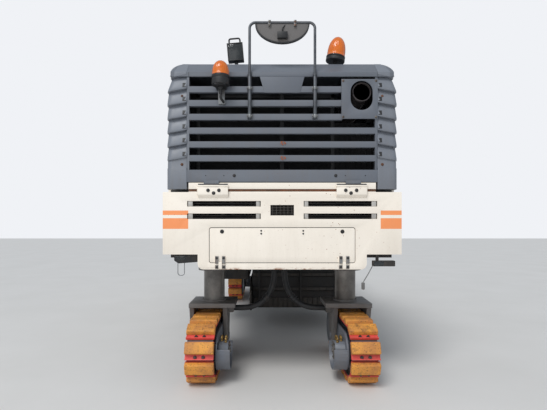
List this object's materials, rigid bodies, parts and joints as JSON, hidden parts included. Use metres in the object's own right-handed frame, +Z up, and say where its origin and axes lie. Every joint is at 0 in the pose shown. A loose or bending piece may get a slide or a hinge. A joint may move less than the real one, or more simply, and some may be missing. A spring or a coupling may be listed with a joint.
{
  "type": "cold planer milling machine",
  "caption": "Road milling machine on four steered lifting tracks with milling drum, tilting engine hood and front discharge conveyor.",
  "frame": {"origin": "centre of the bounding box at ground level", "axes": "+Z up, +Y forward to the discharge conveyor, +X right as seen from behind"},
  "size_m": [2.5, 14.7198, 4.4053],
  "materials": {
    "frame_steel": "satin",
    "cream_paint": "satin",
    "grey_paint": "satin",
    "black_metal": "matte",
    "exhaust_steel": "rough",
    "lamp_amber": "gloss",
    "drum_steel": "rough",
    "wear_steel": "rough",
    "belt_rubber": "matte",
    "rod_chrome": "polished",
    "track_pad": "matte",
    "leg_steel": "satin",
    "radiator_core": "matte"
  },
  "bodies": {
    "chassis": {"chassis_frame": "frame_steel", "side_panels": "cream_paint", "rear_bumper": "cream_paint", "engine_block": "frame_steel", "radiator": "radiator_core", "exhaust": "exhaust_steel", "platform": "black_metal", "ladders": "frame_steel", "railings": "cream_paint", "consoles": "black_metal", "water_tank": "cream_paint", "head_lamps": "black_metal", "oil_tank": "black_metal", "drum_housing": "frame_steel", "primary_conveyor": "frame_steel", "rear_lamps": "black_metal", "hoses_fl": "belt_rubber", "hoses_fr": "belt_rubber", "hoses_rl": "belt_rubber", "hoses_rr": "belt_rubber"},
    "flap": {"bumper_flap": "cream_paint"},
    "hood": {"hood_shell": "grey_paint", "grille": "grey_paint", "corner_ribs": "grey_paint", "hoop": "frame_steel", "beacons": "lamp_amber", "work_lamp": "black_metal"},
    "drum": {"milling_drum": "drum_steel"},
    "scraper": {"scraper": "wear_steel"},
    "edge_left": {"edge_plate_left": "wear_steel"},
    "edge_right": {"edge_plate_right": "wear_steel"},
    "swivel": {"swivel_bracket": "frame_steel"},
    "conveyor": {"discharge_conveyor": "cream_paint", "discharge_belt": "belt_rubber"},
    "barrels": {"lift_barrels": "black_metal"},
    "rods": {"lift_rods": "rod_chrome"},
    "tie_front": {"tie_rod_front": "black_metal"},
    "tie_rear": {"tie_rod_rear": "black_metal"},
    "sleeve_fl": {"sleeve_fl": "leg_steel"},
    "leg_fl": {"leg_fl": "leg_steel"},
    "unit_fl": {"track_frame_fl": "grey_paint", "track_fl": "track_pad"},
    "sleeve_fr": {"sleeve_fr": "leg_steel"},
    "leg_fr": {"leg_fr": "leg_steel"},
    "unit_fr": {"track_frame_fr": "grey_paint", "track_fr": "track_pad"},
    "sleeve_rl": {"sleeve_rl": "leg_steel"},
    "leg_rl": {"leg_rl": "leg_steel"},
    "unit_rl": {"track_frame_rl": "grey_paint", "track_rl": "track_pad"},
    "sleeve_rr": {"sleeve_rr": "leg_steel"},
    "leg_rr": {"leg_rr": "leg_steel"},
    "unit_rr": {"track_frame_rr": "grey_paint", "track_rr": "track_pad"}
  },
  "joints": [
    {"name": "steer_fl", "type": "hinge", "parent": "chassis", "child": "sleeve_fl", "pos_m": [-0.8, -1.365, 1.2], "axis": [0, 0, 1], "range_deg": [-18, 18], "deforming": ["hoses_fl"]},
    {"name": "lift_fl", "type": "slide", "parent": "sleeve_fl", "child": "leg_fl", "axis": [0, 0, 1], "range_m": [-0.1, 0.35]},
    {"name": "rock_fl", "type": "hinge", "parent": "leg_fl", "child": "unit_fl", "pos_m": [-0.8, -1.365, 0.36], "axis": [1, 0, 0], "range_deg": [-5, 5]},
    {"name": "steer_fr", "type": "hinge", "parent": "chassis", "child": "sleeve_fr", "pos_m": [0.8, -1.365, 1.2], "axis": [0, 0, 1], "range_deg": [-18, 18], "deforming": ["hoses_fr"]},
    {"name": "lift_fr", "type": "slide", "parent": "sleeve_fr", "child": "leg_fr", "axis": [0, 0, 1], "range_m": [-0.1, 0.35]},
    {"name": "rock_fr", "type": "hinge", "parent": "leg_fr", "child": "unit_fr", "pos_m": [0.8, -1.365, 0.36], "axis": [1, 0, 0], "range_deg": [-5, 5]},
    {"name": "steer_rl", "type": "hinge", "parent": "chassis", "child": "sleeve_rl", "pos_m": [-0.8, -6.425, 1.2], "axis": [0, 0, 1], "range_deg": [-18, 18], "deforming": ["hoses_rl"]},
    {"name": "lift_rl", "type": "slide", "parent": "sleeve_rl", "child": "leg_rl", "axis": [0, 0, 1], "range_m": [-0.1, 0.35]},
    {"name": "rock_rl", "type": "hinge", "parent": "leg_rl", "child": "unit_rl", "pos_m": [-0.8, -6.425, 0.36], "axis": [1, 0, 0], "range_deg": [-5, 5]},
    {"name": "steer_rr", "type": "hinge", "parent": "chassis", "child": "sleeve_rr", "pos_m": [0.8, -6.425, 1.2], "axis": [0, 0, 1], "range_deg": [-18, 18], "deforming": ["hoses_rr"]},
    {"name": "lift_rr", "type": "slide", "parent": "sleeve_rr", "child": "leg_rr", "axis": [0, 0, 1], "range_m": [-0.1, 0.35]},
    {"name": "rock_rr", "type": "hinge", "parent": "leg_rr", "child": "unit_rr", "pos_m": [0.8, -6.425, 0.36], "axis": [1, 0, 0], "range_deg": [-5, 5]},
    {"name": "tie_front", "type": "hinge", "parent": "sleeve_fl", "child": "tie_front", "pos_m": [-0.8, -1.035, 1.215], "axis": [0, 0, 1], "range_deg": [-18, 18]},
    {"name": "tie_rear", "type": "hinge", "parent": "sleeve_rl", "child": "tie_rear", "pos_m": [-0.8, -6.095, 1.215], "axis": [0, 0, 1], "range_deg": [-18, 18]},
    {"name": "drum_spin", "type": "hinge", "parent": "chassis", "child": "drum", "pos_m": [0, -3.895, 0.79], "axis": [1, 0, 0], "continuous": true},
    {"name": "scraper_swing", "type": "hinge", "parent": "chassis", "child": "scraper", "pos_m": [0, -4.58, 1.19], "axis": [-1, 0, 0], "range_deg": [0, 90]},
    {"name": "edge_left", "type": "slide", "parent": "chassis", "child": "edge_left", "axis": [0, 0, 1], "range_m": [0, 0.3]},
    {"name": "edge_right", "type": "slide", "parent": "chassis", "child": "edge_right", "axis": [0, 0, 1], "range_m": [0, 0.3]},
    {"name": "hood_tilt", "type": "hinge", "parent": "chassis", "child": "hood", "pos_m": [0, -7.184, 2.133], "axis": [1, 0, 0], "range_deg": [0, 60]},
    {"name": "flap_drop", "type": "hinge", "parent": "chassis", "child": "flap", "pos_m": [0, -7.178, 1.315], "axis": [1, 0, 0], "range_deg": [0, 100]},
    {"name": "conveyor_swivel", "type": "hinge", "parent": "chassis", "child": "swivel", "pos_m": [0, -0.12, 1.15], "axis": [0, 0, 1], "range_deg": [-35, 35]},
    {"name": "conveyor_lift", "type": "hinge", "parent": "swivel", "child": "conveyor", "pos_m": [0, -0.12, 1.52], "axis": [1, 0, 0], "range_deg": [-6, 6]},
    {"name": "cylinder_swing", "type": "hinge", "parent": "swivel", "child": "barrels", "pos_m": [0, 0.48, 1.19], "axis": [1, 0, 0], "range_deg": [-4, 5]},
    {"name": "cylinder_stroke", "type": "slide", "parent": "barrels", "child": "rods", "axis": [0, 0.101, 0.9949], "range_m": [-0.07, 0.095]}
  ],
  "couplings": [
    {"joint": "steer_fr", "follows": "steer_fl", "ratio": 1},
    {"joint": "steer_rr", "follows": "steer_rl", "ratio": 1},
    {"joint": "tie_front", "follows": "steer_fl", "ratio": -1},
    {"joint": "tie_rear", "follows": "steer_rl", "ratio": -1},
    {"joint": "cylinder_swing", "follows": "conveyor_lift", "ratio": 0.53083},
    {"joint": "cylinder_stroke", "follows": "conveyor_lift", "m_per_rad": 0.62637}
  ]
}
